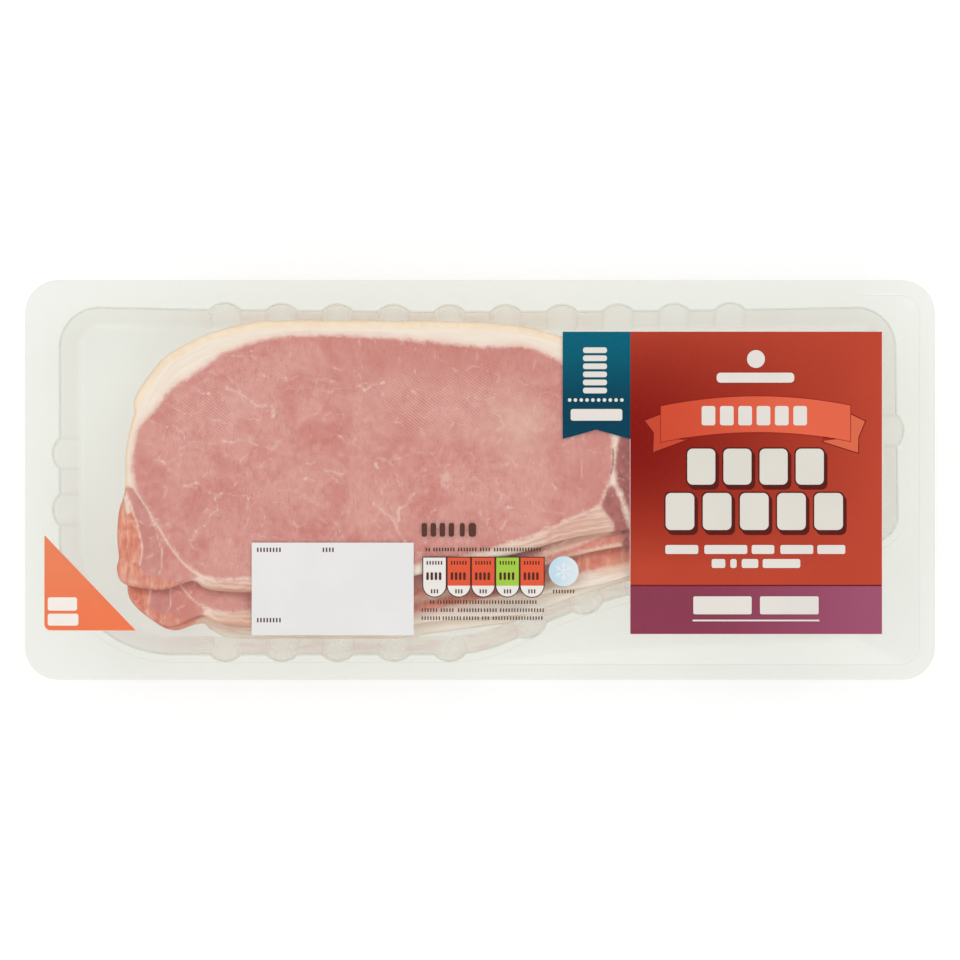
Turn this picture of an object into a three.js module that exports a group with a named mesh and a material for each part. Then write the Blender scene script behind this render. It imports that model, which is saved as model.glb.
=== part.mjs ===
// A sealed retail pack of thick-cut back bacon, lying flat with its film up.
// A clear thermoformed tray has a flat flange and a fluted cavity shaped like a rasher. Six rashers
// lie in it, each lower one slipped a little towards the front, and a clear film is sealed on top.
// Millimetres, +X along the pack towards the rashers' tails, +Y towards their rind, +Z up.
import * as THREE from "three";

// Pack
const LENGTH = 273;
const WIDTH = 120;
const CORNER_R = 10;
const CORNER_STEPS = 7;
const SHEET = 0.6; // thickness of the formed tray
const FILM = 0.3; // thickness of the film
const CLEARANCE = 0.3; // between pieces that touch

// Rashers
const RASHERS = 6;
const SLICE = 3.4; // thickness of one rasher
const SLICE_EDGE = 0.8; // rounding of its cut edge
const HEADROOM = 0.5; // from the top rasher to the rim

const STACK_Z = SHEET + CLEARANCE;
const SLICE_PITCH = SLICE + CLEARANCE;
const RIM_Z = STACK_Z + RASHERS * SLICE_PITCH - CLEARANCE + HEADROOM;

// Cavity, measured at the rim
const LEFT_X = -125.9;
const RIGHT_X = 124.4;
const BACK_Y = 51.5;
const FRONT_Y = -52.1;
const BACK_BOW = 1.3; // the long back wall bends in this far at its middle
const BACK_R = 11.6; // both back corners
const BELLY_R = 33.8; // front left corner, round the loin end of the rashers
const TAIL = { x: 117.1, y: -10.5, r: 8, start: THREE.MathUtils.degToRad(-78.5) };
const SLANT = [ // the front wall's slant towards the tails, as two Bezier curves
  [-10, FRONT_Y], [0, FRONT_Y], [8, -49], [16, -44.5],
  [34, -34.5], [70, -28],
];
const TURN_STEP = THREE.MathUtils.degToRad(9); // turn of the outline between two stations

// Wall
const DRAFT = 4.4; // how far the wall leans in from rim to foot
const RIM_R = 0.4;
const FOOT_R = 1.6;
const FILLET_MIDDLE = 1 - Math.SQRT1_2; // share of a fillet's radius at its middle

// Flutes, which stand out at the rim and run out at the foot
const FLUTE = { width: 9.2, depth: 2.3, pitch: 16.85, shoulder: 0.72, room: 0.8 };
const FLUTE_STEPS = [-1, -0.78, -0.5, -0.2, 0.2, 0.5, 0.78, 1]; // in half widths from the middle
const FLUTE_FIRST_X = -76.4; // of both long sides
const FLUTES_BACK = 10;
const FLUTES_FRONT = 5;
const FLUTES_SLANT = [[15.8, -45], [32.2, -38], [48.7, -33], [65.5, -29], [82.5, -26], [99.5, -22]];
const FLUTES_LEFT_Y = [7.8, 7.8 - FLUTE.pitch];
const FLUTE_RIGHT_Y = 15;

// A rasher's outline: the round loin at -X with its rind along the back, the notch where the rind
// ends, the side muscles' lobes at the front left, and the streaky tail at +X. Anticlockwise.
const RASHER_OUTLINE = [
  [24.5, 43.1], [-7.7, 47.5], [-53.9, 47.8], [-81.8, 43.9], [-94.5, 37.1], [-103.4, 25.5],
  [-104.2, 18.6], [-106.6, 3], [-108.9, -18.8], [-107.4, -30.6], [-94.7, -32.9], [-86.2, -30.4],
  [-68.9, -33.8], [-44.9, -33], [-17.9, -28.4], [11.6, -20.4], [28.5, -13.2], [42, -14.2],
  [62, -14.8], [86, -11], [107, -6], [116.2, 2], [117, 13.5], [109, 22.5], [86, 29.5], [56, 36],
];
const OUTLINE_STEPS = 60;

// How each rasher lies, from the top down: its slip along X and Y, its turn in degrees, how far the
// fat stands out under its loin, and the phase and size of the unevenness of its edge.
const LAY = [
  { x: 0, y: 0, turn: 0, fat: 0, phase: 0, uneven: 0 },
  { x: 1.2, y: -6.2, turn: 2.9, fat: 2, phase: 0.9, uneven: 0.7 },
  { x: -0.4, y: -8.4, turn: 1.8, fat: 5, phase: 2.1, uneven: 0.9 },
  { x: 0.8, y: -9, turn: 0.9, fat: 7, phase: 3.4, uneven: 0.8 },
  { x: 0.2, y: -9.4, turn: 0.6, fat: 8, phase: 4.4, uneven: 0.7 },
  { x: 0.6, y: -9.2, turn: 0.4, fat: 7.5, phase: 5.5, uneven: 0.6 },
];
const FAT = { x: 27, half: 24 }; // middle and half length of the fat under the loin

// One material for each kind of piece
const clearSheet = new THREE.MeshStandardMaterial({
  color: 0xecede6, roughness: 0.12, metalness: 0, transparent: true, opacity: 0.35,
});
const clearFilm = new THREE.MeshStandardMaterial({
  color: 0xf6f7f2, roughness: 0.08, metalness: 0, transparent: true, opacity: 0.2,
});
const bacon = new THREE.MeshStandardMaterial({ color: 0xd18e88, roughness: 0.45, metalness: 0 });

// A closed surface, gathered as loose triangles.
class Surface {
  positions = [];

  triangle(a, b, c) {
    this.positions.push(...a.toArray(), ...b.toArray(), ...c.toArray());
  }

  // Joins two rings of as many points. It faces outwards when lower is under upper.
  band(lower, upper) {
    lower.forEach((a, i) => {
      const next = (i + 1) % lower.length;
      this.triangle(a, lower[next], upper[next]);
      this.triangle(a, upper[next], upper[i]);
    });
  }

  // Joins each ring of a list to the one before it.
  bands(rings) {
    for (let i = 1; i < rings.length; i++) this.band(rings[i - 1], rings[i]);
  }

  // Fills a flat ring, round a hole if there is one, facing up or down.
  face(outline, up, hole = null) {
    const flat = (points) => points.map((p) => new THREE.Vector2(p.x, p.y));
    const points = hole ? [...outline, ...hole] : outline;
    const faces = THREE.ShapeUtils.triangulateShape(flat(outline), hole ? [flat(hole)] : []);
    for (const [a, b, c] of faces) {
      if (up) this.triangle(points[a], points[b], points[c]);
      else this.triangle(points[a], points[c], points[b]);
    }
  }

  mesh(name, material) {
    const geometry = new THREE.BufferGeometry();
    geometry.setAttribute("position", new THREE.Float32BufferAttribute(this.positions, 3));
    geometry.computeVertexNormals();
    const made = new THREE.Mesh(geometry, material);
    made.name = name;
    return made;
  }
}

// The pack's outer edge: a rectangle with round corners, anticlockwise.
function packEdge(z) {
  const x = LENGTH / 2 - CORNER_R;
  const y = WIDTH / 2 - CORNER_R;
  const points = [];
  [[x, y], [-x, y], [-x, -y], [x, -y]].forEach(([cx, cy], corner) => {
    for (let i = 0; i <= CORNER_STEPS; i++) {
      const angle = (corner + i / CORNER_STEPS) * (Math.PI / 2);
      points.push(new THREE.Vector3(cx + CORNER_R * Math.cos(angle), cy + CORNER_R * Math.sin(angle), z));
    }
  });
  return points;
}

// The cavity's outline at the rim, anticlockwise from the belly corner.
function cavityPath() {
  const path = new THREE.Path();
  const [a, b, c, d, e, f] = SLANT;
  const tailStart = [
    TAIL.x + TAIL.r * Math.cos(TAIL.start),
    TAIL.y + TAIL.r * Math.sin(TAIL.start),
  ];
  path.moveTo(LEFT_X + BELLY_R, FRONT_Y);
  path.lineTo(...a);
  path.bezierCurveTo(...b, ...c, ...d);
  path.bezierCurveTo(...e, ...f, ...tailStart);
  path.absarc(TAIL.x, TAIL.y, TAIL.r, TAIL.start, 0, false);
  path.lineTo(RIGHT_X, BACK_Y - BACK_R);
  path.absarc(RIGHT_X - BACK_R, BACK_Y - BACK_R, BACK_R, 0, Math.PI / 2, false);
  path.quadraticCurveTo(0, BACK_Y - 2 * BACK_BOW, LEFT_X + BACK_R, BACK_Y);
  path.absarc(LEFT_X + BACK_R, BACK_Y - BACK_R, BACK_R, Math.PI / 2, Math.PI, false);
  path.lineTo(LEFT_X, FRONT_Y + BELLY_R);
  path.absarc(LEFT_X + BELLY_R, FRONT_Y + BELLY_R, BELLY_R, Math.PI, 1.5 * Math.PI, false);
  return path;
}

// Spots near the middle of each flute: along the back, the front, its slant, and the two ends.
function fluteSpots() {
  const row = (count, y) => Array.from({ length: count }, (_, i) => [FLUTE_FIRST_X + i * FLUTE.pitch, y]);
  return [
    ...row(FLUTES_BACK, BACK_Y),
    ...row(FLUTES_FRONT, FRONT_Y),
    ...FLUTES_SLANT,
    ...FLUTES_LEFT_Y.map((y) => [LEFT_X, y]),
    [RIGHT_X, FLUTE_RIGHT_Y],
  ];
}

// Distances along the path of its joints, and of the places between where it turns by TURN_STEP.
function turningPlaces(path) {
  const samples = 40;
  const places = [];
  let start = 0;
  for (const curve of path.curves) {
    const length = curve.getLength();
    let turn = 0;
    for (let i = 0; i < samples; i++) {
      turn += curve.getTangentAt(i / samples).angleTo(curve.getTangentAt((i + 1) / samples));
    }
    const steps = Math.max(1, Math.round(turn / TURN_STEP));
    for (let i = 0; i < steps; i++) places.push(start + (length * i) / steps);
    start += length;
  }
  return places;
}

// The distance along the path of its nearest point to a spot.
function nearestPlace(path, [x, y]) {
  const step = 0.5;
  const total = path.getLength();
  const spot = new THREE.Vector2(x, y);
  let best = { place: 0, gap: Infinity };
  for (let place = 0; place < total; place += step) {
    const gap = path.getPoint(place / total).distanceTo(spot);
    if (gap < best.gap) best = { place, gap };
  }
  return best.place;
}

// Stations round the cavity: a point, the normal out of the cavity, and how much of a flute is there.
function cavityStations() {
  const path = cavityPath();
  const total = path.getLength();
  const half = FLUTE.width / 2;
  const middles = fluteSpots().map((spot) => nearestPlace(path, spot));
  const places = turningPlaces(path)
    .filter((place) => middles.every((middle) => Math.abs(place - middle) > half + FLUTE.room))
    .map((place) => ({ place, flute: 0 }));
  for (const middle of middles) {
    for (const step of FLUTE_STEPS) {
      const flute = THREE.MathUtils.smoothstep(1 - Math.abs(step), 0, FLUTE.shoulder);
      places.push({ place: middle + step * half, flute });
    }
  }
  places.sort((p, q) => p.place - q.place);
  return places.map(({ place, flute }) => {
    const tangent = path.getTangent(place / total);
    return { point: path.getPoint(place / total), normal: new THREE.Vector2(tangent.y, -tangent.x), flute };
  });
}

// A ring of points at height z, set in from the stations, with the flutes' depth there.
function ring(stations, z, inset, depth = 0) {
  return stations.map(({ point, normal, flute = 0 }) => {
    const out = flute * depth - inset;
    return new THREE.Vector3(point.x + normal.x * out, point.y + normal.y * out, z);
  });
}

// The wall's rings from floor to rim, on the tray's inside (skin 0) or its outside (skin SHEET).
function wallRings(stations, skin) {
  const floor = SHEET - skin;
  const radius = FOOT_R + skin;
  const foot = DRAFT - skin;
  return [
    ring(stations, floor, foot + radius),
    ring(stations, floor + FILLET_MIDDLE * radius, foot + FILLET_MIDDLE * radius),
    ring(stations, floor + radius, foot),
    ring(stations, RIM_Z - RIM_R - skin, -skin, FLUTE.depth),
    ring(stations, RIM_Z - skin, -RIM_R - skin, FLUTE.depth),
  ];
}

function makeTray() {
  const stations = cavityStations();
  const inside = wallRings(stations, 0);
  const outside = wallRings(stations, SHEET);
  const edge = [packEdge(RIM_Z - SHEET), packEdge(RIM_Z)];
  const surface = new Surface();
  surface.face(edge[1], true, inside.at(-1));
  surface.bands(edge);
  surface.face(edge[0], false, outside.at(-1));
  surface.bands(outside);
  surface.face(outside[0], false);
  surface.bands(inside.toReversed());
  surface.face(inside[0], true);
  return surface.mesh("tray", clearSheet);
}

function makeFilm() {
  const under = RIM_Z + CLEARANCE;
  const edge = [packEdge(under), packEdge(under + FILM)];
  const surface = new Surface();
  surface.face(edge[1], true);
  surface.bands(edge);
  surface.face(edge[0], false);
  return surface.mesh("lid_film", clearFilm);
}

// Stations round one rasher, with its own uneven edge, turned and slipped to where it lies.
function rasherStations({ x, y, turn, fat, phase, uneven }) {
  const curve = new THREE.CatmullRomCurve3(
    RASHER_OUTLINE.map(([px, py]) => new THREE.Vector3(px, py, 0)), true,
  );
  const angle = THREE.MathUtils.degToRad(turn);
  const middle = new THREE.Vector2(0, 0);
  return Array.from({ length: OUTLINE_STEPS }, (_, i) => {
    const round = (i / OUTLINE_STEPS) * 2 * Math.PI;
    const at = curve.getPointAt(i / OUTLINE_STEPS);
    const along = curve.getTangentAt(i / OUTLINE_STEPS);
    const normal = new THREE.Vector2(along.y, -along.x).normalize();
    const under = Math.max(0, -normal.y) * Math.exp(-(((at.x - FAT.x) / FAT.half) ** 2));
    const wave = Math.sin(5 * round + phase) + 0.6 * Math.sin(9 * round + 2 * phase) - 1;
    const point = new THREE.Vector2(at.x, at.y).addScaledVector(normal, uneven * wave + fat * under);
    point.rotateAround(middle, angle).add(new THREE.Vector2(x, y));
    return { point, normal: normal.rotateAround(middle, angle) };
  });
}

function makeRasher(lay, index) {
  const stations = rasherStations(lay);
  const low = STACK_Z + (RASHERS - 1 - index) * SLICE_PITCH;
  const high = low + SLICE;
  const rings = [
    ring(stations, low, SLICE_EDGE),
    ring(stations, low + SLICE_EDGE, 0),
    ring(stations, high - SLICE_EDGE, 0),
    ring(stations, high, SLICE_EDGE),
  ];
  const surface = new Surface();
  surface.face(rings[0], false);
  surface.bands(rings);
  surface.face(rings.at(-1), true);
  return surface.mesh(`rasher_${index + 1}`, bacon);
}

const pack = new THREE.Group();
pack.add(makeTray(), makeFilm(), ...LAY.map(makeRasher));

export default pack;
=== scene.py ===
import math
import bmesh
import bpy
import numpy as np
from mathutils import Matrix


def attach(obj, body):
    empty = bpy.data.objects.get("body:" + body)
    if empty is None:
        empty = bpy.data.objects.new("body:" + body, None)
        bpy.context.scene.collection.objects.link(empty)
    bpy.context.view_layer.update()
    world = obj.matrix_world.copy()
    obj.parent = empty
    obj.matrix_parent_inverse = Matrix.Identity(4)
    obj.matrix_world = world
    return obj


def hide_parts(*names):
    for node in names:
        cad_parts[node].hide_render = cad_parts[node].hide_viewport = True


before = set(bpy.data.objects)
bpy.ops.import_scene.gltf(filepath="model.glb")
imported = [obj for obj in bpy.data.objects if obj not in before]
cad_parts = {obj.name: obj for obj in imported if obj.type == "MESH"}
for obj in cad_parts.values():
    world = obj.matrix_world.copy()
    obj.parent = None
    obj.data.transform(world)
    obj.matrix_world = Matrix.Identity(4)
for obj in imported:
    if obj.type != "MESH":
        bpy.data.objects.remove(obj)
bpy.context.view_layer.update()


# TRAY
# One sheet of clear plastic, drawn by vacuum over a heated mould: a flat flange round a deep cavity
# shaped like a rasher. Flutes stiffen its wall, and shallow grooves in the flange mark the seal.
MM = 0.001
LENGTH = 273
WIDTH = 120
CORNER = 10
SHEET = 0.6
RIM_Z = 23.3
LEFT, RIGHT = -125.9, 124.4
FRONT, BACK = -52.1, 51.5
BACK_BOW = 1.3
BACK_CORNER = 11.6
BELLY_CORNER = 33.8
TAIL_MIDDLE = (117.1, -10.5)
TAIL_CORNER = 8
DRAFT = 4.4
RIM_ROUND = 0.25
FOOT_ROUND = 1.6
FLUTE_WIDTH = 9.2
FLUTE_DEPTH = 2.1
FLUTE_PITCH = 16.85
FIRST_FLUTE = -76.4
SLANT_FLUTES = [(15.8, -45), (32.2, -38), (48.7, -33), (65.5, -29), (82.5, -26), (99.5, -22)]
TRAY_STATIONS = 1200
FLANGE_STATIONS = 4000
FLANGE_MIDDLE = (12, 6)
FLOOR_INSET = 1.2
GROOVE = 0.1
BORDER_FROM_BACK, BORDER_FROM_FRONT = 104, -6
BORDER_FADE = 12


def arc(centre, radius, start, end, steps=30):
    """Points on an arc, with its angles in degrees."""
    angles = np.radians(np.linspace(start, end, steps))
    return np.column_stack([centre[0] + radius * np.cos(angles), centre[1] + radius * np.sin(angles)])


def bend(*handles, steps=40):
    """Points on a Bezier curve."""
    share = np.linspace(0, 1, steps)[:, None]
    order = len(handles) - 1
    points = 0
    for i, handle in enumerate(handles):
        points = points + math.comb(order, i) * (1 - share) ** (order - i) * share ** i * np.array(handle)
    return points


def stations(path, count):
    """Evenly spaced points round a closed path that runs anticlockwise, and the outward normals there."""
    closed = np.vstack([path, path[:1]])
    along = np.concatenate([[0], np.cumsum(np.linalg.norm(np.diff(closed, axis=0), axis=1))])
    places = np.linspace(0, along[-1], count, endpoint=False)
    points = np.column_stack([np.interp(places, along, closed[:, k]) for k in (0, 1)])
    ahead = np.roll(points, -1, axis=0) - np.roll(points, 1, axis=0)
    normals = np.column_stack([ahead[:, 1], -ahead[:, 0]])
    return points, normals / np.linalg.norm(normals, axis=1)[:, None]


def nearest(points, path):
    """For each point: the distance to a closed path, and the place on it as a segment and a share of it."""
    start = path
    step = np.roll(path, -1, axis=0) - path
    length = np.maximum((step ** 2).sum(1), 1e-12)
    distance = np.empty(len(points))
    segment = np.empty(len(points), int)
    share = np.empty(len(points))
    for first in range(0, len(points), 2000):
        part = slice(first, first + 2000)
        gap = points[part][:, None] - start[None]
        t = np.clip((gap * step).sum(2) / length, 0, 1)
        away = np.linalg.norm(gap - t[..., None] * step, axis=2)
        best = away.argmin(1)
        row = np.arange(len(best))
        distance[part] = away[row, best]
        segment[part] = best
        share[part] = t[row, best]
    return distance, segment, share


def pack_edge(inset=0, steps=24):
    """The pack's outer edge, a rectangle with round corners, anticlockwise."""
    x = LENGTH / 2 - CORNER
    y = WIDTH / 2 - CORNER
    corners = [(x, -y), (x, y), (-x, y), (-x, -y)]
    turns = [-90, 0, 90, 180]
    return np.vstack([arc(c, CORNER - inset, a, a + 90, steps) for c, a in zip(corners, turns)])


def cavity_edge():
    """The cavity's outline at the rim, anticlockwise from its belly corner."""
    tail = arc(TAIL_MIDDLE, TAIL_CORNER, -78.5, 0)
    return np.vstack([
        bend((LEFT + BELLY_CORNER, FRONT), (-10, FRONT)),
        bend((-10, FRONT), (0, FRONT), (8, -49), (16, -44.5)),
        bend((16, -44.5), (34, -34.5), (70, -28), tail[0]),
        tail,
        bend(tail[-1], (RIGHT, BACK - BACK_CORNER)),
        arc((RIGHT - BACK_CORNER, BACK - BACK_CORNER), BACK_CORNER, 0, 90),
        bend((RIGHT - BACK_CORNER, BACK), (0, BACK - 2 * BACK_BOW), (LEFT + BACK_CORNER, BACK)),
        arc((LEFT + BACK_CORNER, BACK - BACK_CORNER), BACK_CORNER, 90, 180),
        bend((LEFT, BACK - BACK_CORNER), (LEFT, FRONT + BELLY_CORNER)),
        arc((LEFT + BELLY_CORNER, FRONT + BELLY_CORNER), BELLY_CORNER, 180, 270, 50),
    ])


def flutes_along(points):
    """At each station, how far a flute bulges there, from 0 to 1, and whether its side runs down there."""
    spots = [(FIRST_FLUTE + i * FLUTE_PITCH, BACK) for i in range(10)]
    spots += [(FIRST_FLUTE + i * FLUTE_PITCH, FRONT) for i in range(5)]
    spots += SLANT_FLUTES
    spots += [(LEFT, 7.8), (LEFT, 7.8 - FLUTE_PITCH), (RIGHT, 15)]
    spacing = np.linalg.norm(points[1] - points[0])
    half = FLUTE_WIDTH / 2
    radius = (half ** 2 + FLUTE_DEPTH ** 2) / (2 * FLUTE_DEPTH)
    bulge = np.zeros(len(points))
    side = np.zeros(len(points))
    index = np.arange(len(points))
    for spot in spots:
        middle = np.linalg.norm(points - spot, axis=1).argmin()
        gap = np.abs((index - middle + len(points) // 2) % len(points) - len(points) // 2) * spacing
        out = np.sqrt(radius ** 2 - np.minimum(gap, half) ** 2) - radius + FLUTE_DEPTH
        bulge = np.maximum(bulge, out / FLUTE_DEPTH)
        side = np.maximum(side, np.exp(-((gap - half) / 0.45) ** 2))
    return bulge, side


def skin_through(name, rings):
    """A skin through rings of as many points each, from a circle extruded ring by ring."""
    bpy.ops.object.select_all(action="DESELECT")
    bpy.ops.mesh.primitive_circle_add(vertices=len(rings[0]), radius=0.05, enter_editmode=True)
    piece = bpy.context.object
    piece.name = name
    mesh = bmesh.from_edit_mesh(piece.data)
    station = mesh.verts.layers.int.new("station")
    number = mesh.verts.layers.int.new("ring")
    for index, vertex in enumerate(mesh.verts):
        vertex[station] = index
    for at, ring in enumerate(rings):
        if at:
            bpy.ops.mesh.extrude_edges_move()
            mesh = bmesh.from_edit_mesh(piece.data)
            station = mesh.verts.layers.int["station"]
            number = mesh.verts.layers.int["ring"]
        for vertex in mesh.verts:
            if vertex.select:
                vertex.co = ring[vertex[station]]
                vertex[number] = at
        bmesh.update_edit_mesh(piece.data)
    return piece


def select_ring(piece, which):
    """Selects the vertices of one ring of a skin that is being edited."""
    bpy.ops.mesh.select_all(action="DESELECT")
    bpy.ops.mesh.select_mode(type="VERT")
    mesh = bmesh.from_edit_mesh(piece.data)
    number = mesh.verts.layers.int["ring"]
    for vertex in mesh.verts:
        vertex.select = vertex[number] == which
    mesh.select_flush_mode()
    bmesh.update_edit_mesh(piece.data)


rim, rim_out = stations(cavity_edge(), TRAY_STATIONS)
flute, flute_side = flutes_along(rim)
seal = np.clip(0.45 - 0.55 * rim_out[:, 1], 0.05, 1)


def wall_ring(z, inset, depth=0):
    """A ring of the cavity's wall at height z, set in from the rim, with the flutes' depth there."""
    out = flute * depth - inset
    return np.column_stack([rim + rim_out * out[:, None], np.full(len(rim), z)]) * MM


def border_share(points):
    """How deep the border groove is there, from 0 to 1: it fades out towards the left of the pack."""
    start = np.where(points[:, 1] > 0, BORDER_FROM_BACK, BORDER_FROM_FRONT)
    return np.clip((points[:, 0] - start) / BORDER_FADE, 0, 1)


def flange_ring(inset, groove=0):
    """A ring of the flange, set in from the pack's edge, each station straight out from the middle."""
    edge = stations(pack_edge(inset), FLANGE_STATIONS)[0]
    to_edge = np.unwrap(np.arctan2(*(edge - FLANGE_MIDDLE).T[::-1]))
    to_rim = np.arctan2(*(rim - FLANGE_MIDDLE).T[::-1])
    turn = (to_rim - to_edge[0]) % (2 * math.pi) + to_edge[0]
    angle = np.append(to_edge, to_edge[0] + 2 * math.pi)
    closed = np.vstack([edge, edge[:1]])
    points = np.column_stack([np.interp(turn, angle, closed[:, k]) for k in (0, 1)])
    return np.column_stack([points, RIM_Z - groove * border_share(points)]) * MM


tray_rings = []
for turn in (0, 20, 40, 60, 75):
    sweep = math.radians(turn)
    tray_rings.append(wall_ring(
        SHEET + FOOT_ROUND * (1 - math.cos(sweep)), DRAFT + FOOT_ROUND * (1 - math.sin(sweep))))
low = SHEET + FOOT_ROUND
high = RIM_Z - RIM_ROUND
for share in (0, 0.2, 0.4, 0.6, 0.8, 0.93, 1):
    tray_rings.append(wall_ring(
        low + (high - low) * share, DRAFT * (1 - share), FLUTE_DEPTH * share))
for turn in (35, 65, 90):
    sweep = math.radians(turn)
    tray_rings.append(wall_ring(
        high + RIM_ROUND * math.sin(sweep), -RIM_ROUND * (1 - math.cos(sweep)), FLUTE_DEPTH))
for out, drop in ((2.5, 0), (2.57, GROOVE), (2.67, GROOVE), (2.74, 0)):
    tray_rings.append(wall_ring(RIM_Z - drop * seal, -out))
for inset, drop in ((4.8, 0), (4.7, GROOVE), (4.55, GROOVE), (4.45, 0), (0.25, 0), (0, 0.12)):
    ring = flange_ring(inset, drop)
    if inset == 0:
        ring[:, 2] = (RIM_Z - drop) * MM
    tray_rings.append(ring)


def face_outwards():
    """Turns every face of the mesh that is being edited outwards."""
    bpy.ops.mesh.select_all(action="SELECT")
    bpy.ops.mesh.normals_make_consistent(inside=False)


tray = skin_through("tray_shell", tray_rings)
select_ring(tray, 0)
bpy.ops.mesh.edge_face_add()
bpy.ops.mesh.inset(thickness=FLOOR_INSET * MM)
face_outwards()
tray_mesh = bmesh.from_edit_mesh(tray.data)
floor_face = max(tray_mesh.faces, key=lambda face: len(face.verts))
if floor_face.normal.z < 0:
    bpy.ops.mesh.flip_normals()
bpy.ops.mesh.select_all(action="DESELECT")
bpy.ops.object.mode_set(mode="OBJECT")
skin_vertices = len(tray.data.vertices)
thickness = tray.modifiers.new("thickness", "SOLIDIFY")
thickness.thickness = SHEET * MM
thickness.offset = -1
bpy.ops.object.modifier_apply(modifier=thickness.name)
bpy.ops.object.shade_smooth_by_angle(angle=math.radians(50))


def read_attribute(piece, name, kind=int):
    values = np.empty(len(piece.data.vertices), kind)
    piece.data.attributes[name].data.foreach_get("value", values)
    return values


def set_attribute(piece, name, values, kind="FLOAT"):
    attribute = piece.data.attributes.new(name, kind, "POINT")
    field = "vector" if kind == "FLOAT_VECTOR" else "value"
    attribute.data.foreach_set(field, values.astype(np.float32).ravel())


def places_of(piece):
    """The vertices of a piece, in millimetres."""
    places = np.empty(len(piece.data.vertices) * 3)
    piece.data.vertices.foreach_get("co", places)
    return places.reshape(-1, 3) / MM


def put_at(piece, places):
    """Puts the vertices of a piece at places in millimetres."""
    piece.data.vertices.foreach_set("co", (places * MM).ravel())
    piece.data.update()


# Painted shade: darker milky lines along the creases of the rim, the foot, the grooves and the sides of
# the flutes. Beside the meat, a painted reflection gives the wall the meat's colour.
ring_number = read_attribute(tray, "ring")
station_number = read_attribute(tray, "station")
crease_shade_of_ring = np.zeros(len(tray_rings))
crease_shade_of_ring[[2, 3]] = (0.12, 0.08)
crease_shade_of_ring[[11, 12, 13]] = (0.25, 1, 0.9)
on_wall = (ring_number > 2) & (ring_number < 12)
in_seal = np.isin(ring_number, (16, 17))
in_border = np.isin(ring_number, (20, 21))
# painted shade along the seal and border grooves and the flute sides
crease_shade = crease_shade_of_ring[ring_number] + 0.22 * in_seal * seal[station_number] ** 2
crease_shade += 0.12 * in_border * border_share(places_of(tray))
crease_shade = np.maximum(crease_shade, on_wall * flute_side[station_number] * 0.16)
on_top = np.arange(len(crease_shade)) < skin_vertices
set_attribute(tray, "crease_shade", crease_shade * on_top)
# the painted reflection of the meat on the wall: strongest beside its back and its front, less in the flutes
at_back = rim[:, 1] > 40
near_back = np.exp(-((rim[:, 0] + 25) / 68) ** 4) * at_back * 0.47
near_front = np.exp(-((rim[:, 0] + 18) / 82) ** 6) * (rim[:, 1] < -18) * 0.5
meat_reflection = np.maximum(near_back + near_front, 0.16) * (1 - 0.3 * flute)
set_attribute(tray, "meat_reflection", np.where(on_wall & on_top, meat_reflection[station_number], 0))
set_attribute(tray, "back", at_back[station_number])


def paint(red, green, blue):
    """A colour as a shader takes it, from the 0 to 255 of a paint chart."""
    chart = np.array([red, green, blue]) / 255
    linear = np.where(chart <= 0.04045, chart / 12.92, ((chart + 0.055) / 1.055) ** 2.4)
    return (*linear.tolist(), 1)


class Wire:
    """An output of a shader node, on which arithmetic adds Math nodes."""

    def __init__(self, tree, socket=None):
        self.tree = tree
        self.socket = socket

    def add(self, kind, settings=None, inputs=None, output=0):
        """Adds a node: its settings first, then the values or links of its inputs."""
        node = self.tree.nodes.new(kind)
        for name, value in (settings or {}).items():
            setattr(node, name, value)
        for name, value in (inputs or {}).items():
            if isinstance(value, Wire):
                self.tree.links.new(value.socket, node.inputs[name])
            else:
                node.inputs[name].default_value = value
        return Wire(self.tree, node.outputs[output])

    def math(self, operation, *values):
        return self.add("ShaderNodeMath", {"operation": operation}, dict(enumerate(values)))

    def __add__(self, other):
        return self.math("ADD", self, other)

    def __sub__(self, other):
        return self.math("SUBTRACT", self, other)

    def __rsub__(self, other):
        return self.math("SUBTRACT", other, self)

    def __mul__(self, other):
        return self.math("MULTIPLY", self, other)

    def __truediv__(self, other):
        return self.math("DIVIDE", self, other)

    def __pow__(self, other):
        return self.math("POWER", self, other)

    __radd__ = __add__
    __rmul__ = __mul__


def new_material(name):
    """An empty material, and the wire that its nodes start from."""
    material = bpy.data.materials.new(name)
    material.use_nodes = True
    material.node_tree.nodes.clear()
    return material, Wire(material.node_tree)


def surface(start, inputs):
    return start.add("ShaderNodeBsdfPrincipled", {}, inputs)


def finish_material(shader):
    out = shader.tree.nodes.new("ShaderNodeOutputMaterial")
    shader.tree.links.new(shader.socket, out.inputs["Surface"])


def ease(value, low, high):
    """0 at low and 1 at high, with a smooth step between them."""
    return value.add("ShaderNodeMapRange", {"interpolation_type": "SMOOTHSTEP"},
                     {"Value": value, "From Min": low, "From Max": high})


def mix(mask, under, over):
    """Colour under, with colour over it where mask is 1."""
    return mask.add("ShaderNodeMix", {"data_type": "RGBA"}, {0: mask, 6: under, 7: over}, 2)


def object_place(start, stretch=(1, 1, 1), turn=0):
    """Places on the object, stretched and turned about Z."""
    place = start.add("ShaderNodeTexCoord", output="Object")
    return start.add("ShaderNodeMapping", {},
                     {"Vector": place, "Scale": stretch, "Rotation": (0, 0, math.radians(turn))})


def noise(place, size, detail=2, roughness=0.5):
    """Soft noise with lumps of one size, in the units of the place."""
    return place.add("ShaderNodeTexNoise", {},
                     {"Vector": place, "Scale": 1 / size, "Detail": detail, "Roughness": roughness})


def marked(start, name, output="Fac"):
    """What is marked on the mesh under a name."""
    return start.add("ShaderNodeAttribute", {"attribute_name": name}, {}, output)


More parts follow.
